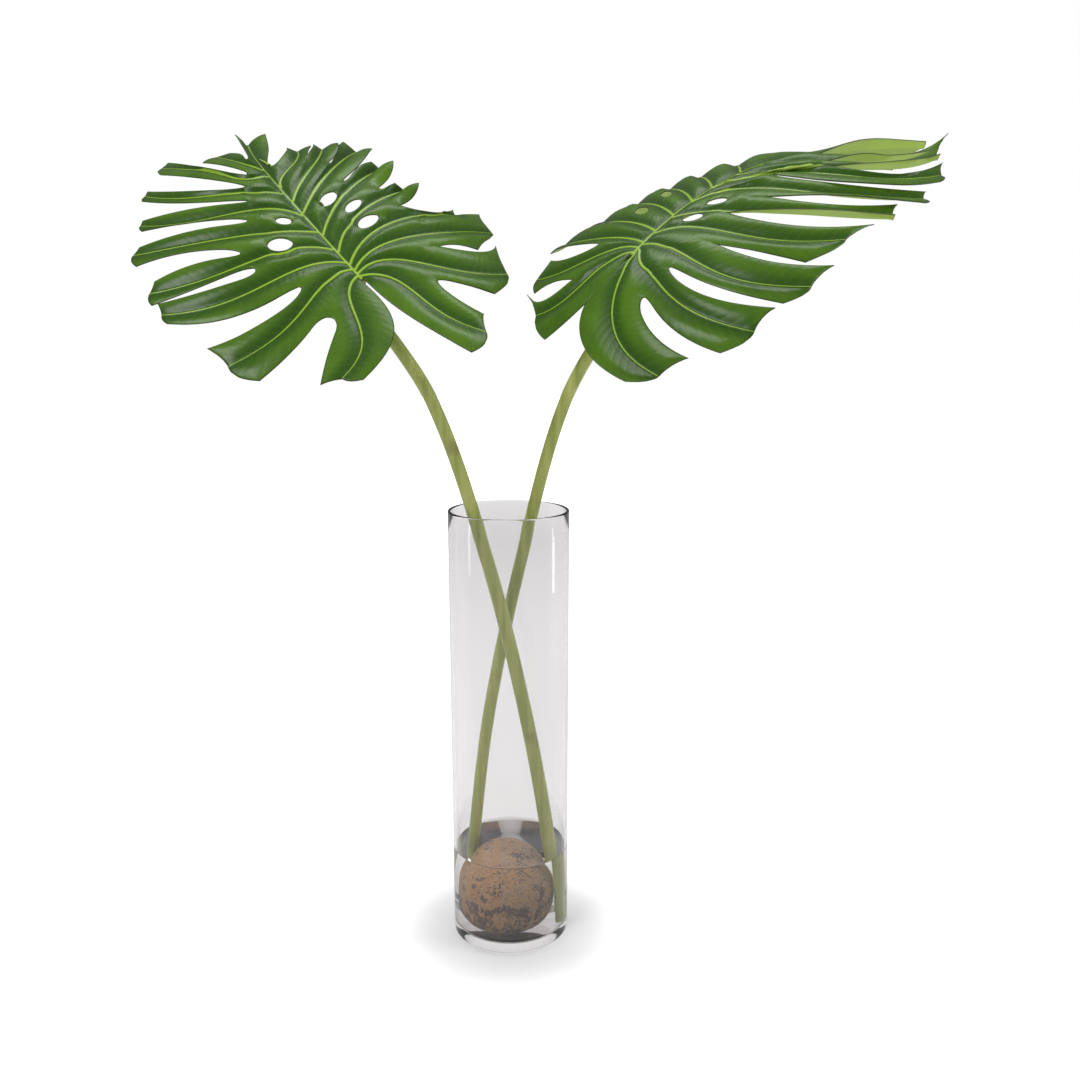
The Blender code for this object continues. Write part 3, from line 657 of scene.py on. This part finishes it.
@dataclass
class LeafBlade:
    """A whole blade as a thin sheet: channelled veins, swelling panels and a fine cut margin."""

    name: str
    node: str
    shape: BladeShape
    thickness: float = 0.0009
    channel: float = 0.0011
    rib: float = 0.0007
    swell: float = 0.0016
    rows_in: int = 30
    rows_out: int = 42
    offsets: tuple = (0.8, 1.7, 3.2, 5.5, 8.5)
    shares: tuple = (0.04, 0.09, 0.16, 0.25, 0.36)
    outer: tuple = (0.5, 0.64, 0.77, 0.88, 0.96, 1.0)

    def rows(self) -> np.ndarray:
        """Places down each lobe, closer by the midrib, the cut's end and the lobe's end."""
        inner = np.linspace(0, 1, self.rows_in) ** 1.15 * 0.5
        outer = 0.5 + 0.5 * np.linspace(0, 1, self.rows_out) ** 1.2
        outer[-3:] = (0.975, 0.99, 1.0)
        return np.unique(np.concatenate([inner, [0.175, 0.375], outer]))

    def columns(self, side: int, i: int, rows: np.ndarray) -> tuple[np.ndarray, np.ndarray, np.ndarray]:
        """All of a lobe's points.

        Returns:
            Places in space and on the plan (row, column, axis), and each column's signed share (row, column).
        """
        half = self.shape.halves[side]
        last = isinstance(half[i], LeafTip)
        vein = self.shape.vein(half, i, rows)
        made = []
        for way in (-1, 1):
            if way > 0 and last:
                continue
            width = np.linalg.norm(self.shape.edge(half, i, way > 0, rows) - vein, axis=1)
            steps = [np.minimum(d / np.maximum(width, 1e-6), s) for d, s in zip(self.offsets, self.shares)]
            steps += [np.full(len(rows), s) for s in self.outer]
            lines = [(*self.shape.column(side, i, way, s, rows), way * s) for s in steps]
            made += lines[::-1] if way < 0 else lines
            if way < 0:
                zero = np.zeros(len(rows))
                made.append((*self.shape.column(side, i, 0, zero, rows), zero))
        return tuple(np.stack(part, 1) for part in zip(*made))

    def facts(self, side: int, i: int, plan: np.ndarray, share: np.ndarray, rows: np.ndarray) -> dict:
        """What the finish needs to know at each point of a lobe.

        Returns:
            Arrays by attribute name: how many half widths and millimetres from the nearest vein, how far
            from a free edge, and the place along the vein less the distance from it.
        """
        half = self.shape.halves[side]
        flat = plan.reshape(-1, 2)
        tops = np.array([[-6.0, MIDRIB_HALF], [half[-1].end, MIDRIB_HALF]])
        apart, foot = nearest(flat, tops)
        apart = apart + np.minimum(flat[:, 1], MIDRIB_HALF)
        half_width = 0.45 + 1.0 * np.exp(-4.0 * foot)
        run = foot * np.hypot(*(tops[1] - tops[0]))
        for j in range(max(0, i - 1), min(len(half), i + 2)):
            if isinstance(half[j], LeafTip):
                continue
            line = self.shape.vein(half, j, np.linspace(0, 1, 41))
            near, s = nearest(flat, line)
            closer = near < apart
            apart = np.where(closer, near, apart)
            half_width = np.where(closer, 1.35 - 0.95 * s, half_width)
            run = np.where(closer, s * np.linalg.norm(np.diff(line, axis=0), axis=1).sum(), run)
        cuts = [cut.sinus for cut in half[max(i - 1, 0) : i + 1] if not isinstance(cut, LeafTip)]
        brink = np.min([np.hypot(*(flat - cut).T) for cut in cuts], axis=0).reshape(share.shape)
        if i == 0:
            free = self.shape.edge(half, i, False, rows)
            brink = np.minimum(brink, nearest(flat, free)[0].reshape(share.shape))
        for tipward in (False, True):
            cut = half[i - 1] if not tipward and i else half[i] if tipward else None
            if isinstance(cut, Lobe) and cut.hole and (tipward or i):
                inside = self.shape.edge(half, i, tipward, np.linspace(0.176, 0.374, 17))
                brink = np.minimum(brink, nearest(flat, inside)[0].reshape(share.shape))
        vein = self.shape.vein(half, i, rows)
        outer = (rows > 0.5)[:, None]
        for way in (-1, 1):
            if way > 0 and isinstance(half[i], LeafTip):
                continue
            width = np.linalg.norm(self.shape.edge(half, i, way > 0, rows) - vein, axis=1)
            to_side = (1 - np.abs(share)) * width[:, None]
            brink = np.where(outer & (share * way > 0), np.minimum(to_side, 60), brink)
        length = np.linalg.norm(np.diff(vein, axis=0), axis=1)[::-1].cumsum()[::-1]
        to_end = np.append(length, 0.0)[:, None]
        brink = np.where(outer, np.minimum(brink, to_end), brink)
        return {
            "vein": apart / half_width,
            "span": apart,
            "brink": brink.ravel(),
            "lateral": run - 0.7 * apart,
        }

    def build(self) -> bpy.types.Object:
        """Makes the blade's mesh, welds its lobes, works its relief and gives it thickness."""
        places, plans, faces, facts, seams = [], [], [], [], {}
        rows = self.rows()
        first = 0
        for side, half in self.shape.halves.items():
            seam = []
            for i, lobe in enumerate(half):
                place, plan, share = self.columns(side, i, rows)
                count = place.shape[1]
                grid = first + np.arange(len(rows) * count).reshape(len(rows), count)
                quads = np.stack([grid[:-1, :-1], grid[:-1, 1:], grid[1:, 1:], grid[1:, :-1]], 2).reshape(-1, 4)
                faces.extend(map(tuple, quads if side < 0 else quads[:, ::-1]))
                facts.append(self.facts(side, i, plan, share, rows))
                seam.extend((plan[0, c, 0], first + c) for c in range(count))
                if isinstance(lobe, LeafTip):
                    seam.extend((plan[r, -1, 0], int(grid[r, -1])) for r in range(1, len(rows)))
                places.append(place.reshape(-1, 3))
                plans.append(plan.reshape(-1, 2) * [1, side])
                first += len(rows) * count
            seams[side] = seam
        strip = len(faces)
        faces.extend(self.midrib(seams))
        mesh = bpy.data.meshes.new(self.name)
        mesh.from_pydata(np.concatenate(places), [], faces)
        merged = {key: np.concatenate([f[key] for f in facts]) for key in facts[0]}
        for key, values in merged.items():
            mesh.attributes.new(key, "FLOAT", "POINT").data.foreach_set("value", values.astype(np.float32))
        flat = np.concatenate(plans)
        plan_3d = np.column_stack([flat / 100, np.zeros(len(flat))]).astype(np.float32)
        mesh.attributes.new("plan", "FLOAT_VECTOR", "POINT").data.foreach_set("vector", plan_3d.ravel())
        obj = bpy.data.objects.new(self.name, mesh)
        bpy.context.scene.collection.objects.link(obj)
        self.weld(mesh, strip)
        self.relief(mesh)
        return self.thicken(obj)

    @staticmethod
    def midrib(seams: dict[int, list]) -> list[tuple[int, int, int]]:
        """Triangles between the two halves, laid in the order of the points along the midrib."""
        left, right = seams[-1], seams[1]
        i, j, faces = 0, 0, []
        while i < len(left) - 1 or j < len(right) - 1:
            if j == len(right) - 1 or (i < len(left) - 1 and left[i + 1][0] <= right[j + 1][0]):
                faces.append((left[i][1], right[j][1], left[i + 1][1]))
                i += 1
            else:
                faces.append((left[i][1], right[j][1], right[j + 1][1]))
                j += 1
        return faces

    @staticmethod
    def weld(mesh: bpy.types.Mesh, strip: int) -> None:
        """Joins the lobes where they share a line, and gives the midrib a line of points along its middle.

        Args:
            mesh: The blade's mesh.
            strip: The number of the first face between the two halves.
        """
        work = bmesh.new()
        work.from_mesh(mesh)
        plan = work.verts.layers.float_vector["plan"]
        work.faces.ensure_lookup_table()
        edges = {edge for face in work.faces[strip:] for edge in face.edges}
        across = [edge for edge in edges if edge.verts[0][plan].y * edge.verts[1][plan].y < 0]
        made = bmesh.ops.subdivide_edges(work, edges=across, cuts=1)
        for vert in made["geom_inner"]:
            if isinstance(vert, bmesh.types.BMVert):
                vert[work.verts.layers.float["span"]] = 0.0
                vert[work.verts.layers.float["vein"]] = 0.0
        bmesh.ops.remove_doubles(work, verts=work.verts, dist=0.00002)
        bmesh.ops.dissolve_degenerate(work, edges=work.edges, dist=0.00002)
        work.to_mesh(mesh)
        work.free()

    def relief(self, mesh: bpy.types.Mesh) -> None:
        """Sinks a channel along each vein, raises the rib in it and swells the panels between."""
        count = len(mesh.vertices)
        place = np.empty(count * 3)
        mesh.vertices.foreach_get("co", place)
        normal = np.empty(count * 3)
        mesh.vertex_normals.foreach_get("vector", normal)
        got = {}
        for key in ("vein", "span", "brink"):
            got[key] = np.empty(count, np.float32)
            mesh.attributes[key].data.foreach_get("value", got[key])
        fade = smooth(got["brink"] / 14)
        height = -self.channel * np.exp(-((got["span"] / 5.0) ** 2)) * (0.35 + 0.65 * fade)
        height += self.rib * np.exp(-((got["vein"] / 0.9) ** 2)) * (0.3 + 0.7 * fade)
        height += self.swell * (1 - np.exp(-((got["span"] / 11.0) ** 2))) * fade
        height -= 0.0007 * np.exp(-got["brink"] / 2.0)
        place = place.reshape(-1, 3) + normal.reshape(-1, 3) * height[:, None]
        mesh.vertices.foreach_set("co", place.ravel())
        mesh.update()

    def thicken(self, obj: bpy.types.Object) -> bpy.types.Object:
        """Gives the sheet its thickness downwards, with its underside and margin in finishes of their own."""
        finish = BladeFinish()
        for material in (finish.upper(), finish.lower(), finish.brink()):
            obj.data.materials.append(material)
        solid = obj.modifiers.new("thickness", "SOLIDIFY")
        solid.thickness = self.thickness
        solid.offset = -1
        solid.material_offset = 1
        solid.material_offset_rim = 2
        apply_modifiers(obj)
        obj.data.shade_smooth()
        return obj


# ---- stems, vase, water and stone ----


def only(obj: bpy.types.Object) -> None:
    """Makes one object the only selected and the active one."""
    bpy.ops.object.select_all(action="DESELECT")
    obj.select_set(True)
    bpy.context.view_layer.objects.active = obj


def apply_modifiers(obj: bpy.types.Object) -> None:
    """Applies an object's modifiers in order."""
    only(obj)
    for modifier in list(obj.modifiers):
        bpy.ops.object.modifier_apply(modifier=modifier.name)


@dataclass
class Petiole:
    """A leaf's stem: from the vase floor up, turned into the underside of its blade."""

    name: str
    node: str
    points: tuple
    shape: BladeShape
    foot: float
    head: float
    drop: float = 0.0021

    def line(self) -> list[np.ndarray]:
        """The stem's centre line."""
        head = self.shape.junction - self.shape.normal * self.drop
        points = [np.array(p) for p in self.points] + [head - self.shape.normal * 0.016, head]
        line = []
        for a, b, c, d in zip([points[0], *points[:-2]], points[:-1], points[1:], [*points[2:], points[-1]]):
            steps = max(3, int(np.linalg.norm(c - b) / 0.006))
            pull_b = unit(c - a) * np.linalg.norm(c - b) * 0.33
            pull_c = unit(d - b) * np.linalg.norm(c - b) * 0.33
            for s in np.arange(steps) / steps:
                r = 1 - s
                line.append(r**3 * b + 3 * s * r * r * (b + pull_b) + 3 * s * s * r * (c - pull_c) + s**3 * c)
        line.append(points[-1])
        return line

    def radius(self, share: float) -> float:
        """The stem's radius: thicker at the foot, with a swollen neck under the blade."""
        neck = 0.0008 * math.exp(-(((share - 0.955) / 0.026) ** 2))
        return self.foot + (self.head - self.foot) * share + neck

    def build(self) -> bpy.types.Object:
        """Makes the stem as a round bar along its line, then as a mesh."""
        line = self.line()
        curve = bpy.data.curves.new(self.name, "CURVE")
        curve.dimensions = "3D"
        curve.bevel_depth = self.foot
        curve.bevel_resolution = 6
        curve.use_fill_caps = True
        spline = curve.splines.new("POLY")
        spline.points.add(len(line) - 1)
        for k, (point, place) in enumerate(zip(spline.points, line)):
            point.co = (*place, 1)
            point.radius = self.radius(k / (len(line) - 1)) / self.foot
        obj = bpy.data.objects.new(self.name, curve)
        bpy.context.scene.collection.objects.link(obj)
        only(obj)
        bpy.ops.object.convert(target="MESH")
        obj = bpy.context.view_layer.objects.active
        obj.data.materials.clear()
        obj.data.materials.append(StemFinish().material())
        obj.data.shade_smooth()
        return obj


@dataclass
class Turned:
    """A body turned round the vase's axis, from a disc drawn up ring by ring."""

    name: str
    node: str
    rings: tuple
    finish: ClearFinish
    segments: int = 128

    def build(self) -> bpy.types.Object:
        """Adds the first disc, then extrudes and scales its edge through each further ring."""
        (radius, height), *others = self.rings
        bpy.ops.object.select_all(action="DESELECT")
        bpy.ops.mesh.primitive_circle_add(
            vertices=self.segments, radius=radius, fill_type="TRIFAN", location=(0, 0, height)
        )
        obj = bpy.context.view_layer.objects.active
        obj.name = obj.data.name = self.name
        bpy.ops.object.transform_apply(location=True, rotation=True, scale=True)
        bpy.ops.object.mode_set(mode="EDIT")
        bpy.ops.mesh.select_mode(type="EDGE")
        bpy.ops.mesh.select_all(action="SELECT")
        bpy.ops.mesh.region_to_loop()
        for wide, high in others:
            bpy.ops.mesh.extrude_edges_move(TRANSFORM_OT_translate={"value": (0, 0, high - height)})
            factor = max(wide, 1e-5) / radius
            bpy.ops.transform.resize(value=(factor, factor, 1), center_override=(0, 0, high))
            radius, height = max(wide, 1e-5), high
        bpy.ops.mesh.merge(type="CENTER")
        bpy.ops.mesh.select_all(action="SELECT")
        bpy.ops.mesh.normals_make_consistent(inside=False)
        bpy.ops.object.mode_set(mode="OBJECT")
        obj.data.materials.append(self.finish.material())
        only(obj)
        bpy.ops.object.shade_smooth_by_angle(angle=math.radians(40))
        return obj


def quarter(x: float, z: float, radius: float, start: float, stop: float, steps: int = 6) -> list[Flat]:
    """Points on part of a circle, between two angles in degrees."""
    turns = np.radians(np.linspace(start, stop, steps + 1))
    return [(x + radius * math.cos(t), z + radius * math.sin(t)) for t in turns]


@dataclass(frozen=True)
class VaseSizes:
    """The vase's sizes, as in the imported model."""

    radius: float = 0.060
    height: float = 0.450
    wall: float = 0.003
    floor: float = 0.011
    foot: float = 0.004
    rim: float = 0.0014
    water: float = 0.094

    def glass_rings(self) -> tuple:
        """The vase's section: out along its base, up outside, over the rim and down inside."""
        inner = self.radius - self.wall
        rings = [(0.03, 0.0), *quarter(self.radius - self.foot, self.foot, self.foot, -90, 0)]
        rings += [(self.radius, 0.02), (self.radius, 0.43)]
        rings += quarter(self.radius - self.rim, self.height - self.rim, self.rim, 0, 90)
        rings += quarter(inner + self.rim, self.height - self.rim, self.rim, 90, 180)
        rings += [(inner, 0.43), (inner, 0.03), *quarter(inner - 0.006, self.floor + 0.006, 0.006, 0, -90)]
        return tuple([*rings, (0.02, self.floor), (0.0, self.floor)])

    def water_rings(self) -> tuple:
        """The water: just into the glass, so that light passes from one to the other, with a raised edge."""
        skin = 0.00012
        inner, low = self.radius - self.wall + skin, self.floor - skin
        rings = [(0.02, low), *quarter(inner - 0.006, low + 0.006, 0.006, -90, 0)]
        rings += [(inner, 0.05), (inner, self.water + 0.0016), (inner - 0.0007, self.water + 0.0007)]
        rings += [(inner - 0.0022, self.water + 0.0001), (inner - 0.006, self.water), (0.02, self.water)]
        return tuple([*rings, (0.0, self.water)])


@dataclass
class Stone:
    """One water-worn stone on the vase floor."""

    name: str = "worn_stone"
    node: str = "stone"
    size: Point = (0.077, 0.084, 0.082)
    place: Flat = (-0.005, -0.010)
    lumps: float = 0.0030
    floor: float = 0.0113

    def build(self) -> bpy.types.Object:
        """Swells a fine ball into a blocky egg with low lumps and small pits."""
        bpy.ops.object.select_all(action="DESELECT")
        bpy.ops.mesh.primitive_ico_sphere_add(subdivisions=6, radius=1.0)
        obj = bpy.context.view_layer.objects.active
        obj.name = obj.data.name = self.name
        count = len(obj.data.vertices)
        place = np.empty(count * 3)
        obj.data.vertices.foreach_get("co", place)
        x, y, z = place.reshape(-1, 3).T
        swell = np.sin(2.3 * x + 1.1) * np.sin(1.9 * y - 0.6) + 0.6 * np.sin(3.1 * z + 1.7 * x)
        small = np.sin(7.1 * x + 2) * np.sin(6.3 * y + 1) * np.sin(5.7 * z) * 0.12
        wide = self.wide(z)
        half = np.array(self.size) / 2
        shape = np.column_stack([
            x * wide * (half[0] + self.lumps * (swell * 0.6 + small)),
            y * wide * (half[1] + self.lumps * (swell * 0.6 + small)),
            z * half[2],
        ])
        shape += [self.place[0], self.place[1], self.floor - shape[:, 2].min()]
        obj.data.vertices.foreach_set("co", shape.ravel())
        obj.data.update()
        obj.data.materials.append(StoneFinish().material())
        obj.data.shade_smooth()
        return obj

    @staticmethod
    def wide(z: np.ndarray) -> np.ndarray:
        """How wide the stone is at a height, against a ball: fuller at both ends, more so below."""
        return (1 - 0.04 * z) * (1 + 0.38 * z**4 + 0.42 * np.clip(-z, 0, 1) ** 2)


# ---- the studio ----


@dataclass
class Studio:
    """A white floor and backdrop, soft lamps, and the camera at the photograph's place."""

    eye: Point = (0.0, -1.0111, 0.6236)
    down: float = 11.44
    turn: float = 1.76
    focal: float = 34.62
    ambient: float = 0.72
    in_gloss: float = 0.16
    in_glass: float = 0.95
    floor_glow: float = 0.10

    def camera(self) -> None:
        """Sets the camera, for a square frame."""
        data = bpy.data.cameras.new("camera")
        data.lens = self.focal
        data.sensor_width = 36.0
        obj = bpy.data.objects.new("camera", data)
        obj.location = self.eye
        obj.rotation_euler = (math.radians(90 - self.down), 0.0, -math.radians(self.turn))
        bpy.context.scene.collection.objects.link(obj)
        bpy.context.scene.camera = obj

    def lamp(self, name: str, place: Point, aim: Point, size: Flat, power: float) -> None:
        """A soft rectangular lamp aimed at a point."""
        data = bpy.data.lights.new(name, "AREA")
        data.shape = "RECTANGLE"
        data.size, data.size_y = size
        data.energy = power
        obj = bpy.data.objects.new(name, data)
        obj.location = place
        direction = np.array(aim) - np.array(place)
        yaw = math.atan2(direction[1], direction[0]) - math.pi / 2
        tilt = math.atan2(math.hypot(direction[0], direction[1]), -direction[2])
        obj.rotation_euler = (tilt, 0.0, yaw)
        bpy.context.scene.collection.objects.link(obj)

    def world(self) -> None:
        """A white backdrop: white to the camera, softer to the leaves, darkest in their gloss."""
        world = bpy.data.worlds.new("studio")
        bpy.context.scene.world = world
        world.use_nodes = True
        tree = world.node_tree
        path = add_node(tree, "ShaderNodeLightPath").outputs
        place = add_node(tree, "ShaderNodeTexCoord").outputs["Object"]
        behind = add_node(tree, "ShaderNodeSeparateXYZ", {0: place}).outputs["Y"]
        in_glass = ramp(tree, behind, 0.0, 0.75, 0.55, self.in_glass)
        seen = (("Is Glossy Ray", self.in_gloss), ("Is Transmission Ray", in_glass), ("Is Camera Ray", 1.0))
        level: Any = self.ambient
        for kind, strength in seen:
            step = add_node(tree, "ShaderNodeMix", {0: path[kind], 3: strength}, data_type="FLOAT")
            if isinstance(level, float):
                step.inputs[2].default_value = level
            else:
                tree.links.new(level, step.inputs[2])
            level = step.outputs[0]
        back = tree.nodes["Background"]
        tree.links.new(level, back.inputs["Strength"])
        back.inputs["Color"].default_value = (1.0, 1.0, 1.0, 1.0)

    def floor(self) -> None:
        """A pale floor under the vase, evenly white further out; seen through the glass it has painted shade, greyer
        towards the front.
        """
        bpy.ops.object.select_all(action="DESELECT")
        bpy.ops.mesh.primitive_circle_add(vertices=64, radius=9.0, fill_type="NGON", location=(0.0, 0.0, -0.0002))
        obj = bpy.context.view_layer.objects.active
        obj.name = "floor"
        material, tree, shader = new_material("pale floor", (0.72, 0.72, 0.73))
        shader.inputs["Roughness"].default_value = 0.8
        shader.inputs["Specular IOR Level"].default_value = 0.0
        shader.inputs["Emission Color"].default_value = (1.0, 1.0, 1.0, 1.0)
        place = add_node(tree, "ShaderNodeTexCoord").outputs["Object"]
        out = add_node(tree, "ShaderNodeVectorMath", {0: place}, operation="LENGTH").outputs["Value"]
        glow = ramp(tree, out, 0.07, 0.20, self.floor_glow, 1.0)
        behind = add_node(tree, "ShaderNodeSeparateXYZ", {0: place}).outputs["Y"]
        path = add_node(tree, "ShaderNodeLightPath").outputs
        # painted shade: greyer floor towards the front, only where it is seen through the glass
        painted_shade_through_glass = ramp(tree, behind, -0.15, 0.3, 0.50, 0.97)
        grey = add_node(tree, "ShaderNodeCombineXYZ", {0: painted_shade_through_glass, 1: painted_shade_through_glass, 2: painted_shade_through_glass}).outputs[0]
        pale = mix(tree, path["Is Transmission Ray"], (0.72, 0.72, 0.73), grey)
        tree.links.new(pale, shader.inputs["Base Color"])
        tree.links.new(maths(tree, "MULTIPLY", glow, path["Is Camera Ray"]), shader.inputs["Emission Strength"])
        obj.data.materials.append(material)

    def build(self) -> None:
        """Sets up the whole studio."""
        bpy.context.scene.view_settings.view_transform = "Standard"
        self.camera()
        self.world()
        self.floor()
        self.lamp("key", (-1.3, -1.2, 2.2), (0.0, 0.0, 0.65), (1.0, 1.0), 24.0)
        self.lamp("side", (1.9, -0.5, 1.6), (0.1, 0.0, 0.6), (0.6, 1.4), 12.0)
        self.lamp("top", (0.1, 0.7, 2.3), (0.0, 0.0, 0.6), (1.5, 0.5), 8.0)
        self.lamp("strip", (1.2, 0.05, 0.14), (0.0, 0.0, 0.20), (0.07, 0.12), 0.15)


def settle(piece: bpy.types.Object, node: str) -> None:
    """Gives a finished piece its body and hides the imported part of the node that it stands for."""
    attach(piece, "root")
    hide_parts(node)
    log.info("%s: %d points, %d faces", piece.name, len(piece.data.vertices), len(piece.data.polygons))


def main() -> None:
    """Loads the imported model, then builds and dresses each piece in turn."""
    logging.basicConfig(level=logging.INFO, format="%(name)s %(message)s")
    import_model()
    bpy.ops.object.select_all(action="DESELECT")
    Studio().build()
    left = BladeShape(LEFT_HOLD, LEFT_LEAF_LEFT, LEFT_LEAF_RIGHT)
    right = BladeShape(RIGHT_HOLD, RIGHT_LEAF_LEFT, RIGHT_LEAF_RIGHT)
    for name, shape in (("left", left), ("right", right)):
        blade = LeafBlade(name + "_blade", name + "_leaf_blade", shape)
        settle(blade.build(), blade.node)
    for name, points, shape, radii in (
        ("left", LEFT_STEM, left, LEFT_STEM_RADII),
        ("right", RIGHT_STEM, right, RIGHT_STEM_RADII),
    ):
        stem = Petiole(name + "_stem", name + "_leaf_stem", points, shape, *radii)
        settle(stem.build(), stem.node)
    sizes = VaseSizes()
    glass = Turned("glass_vase", "vase", sizes.glass_rings(), ClearFinish("clear glass", (0.90, 0.883, 0.895), 1.5))
    settle(glass.build(), glass.node)
    water = Turned("vase_water", "water", sizes.water_rings(), ClearFinish("clear water", (0.97, 0.97, 0.95), 1.33))
    settle(water.build(), water.node)
    stone = Stone()
    settle(stone.build(), stone.node)


if __name__ == "__main__":
    main()
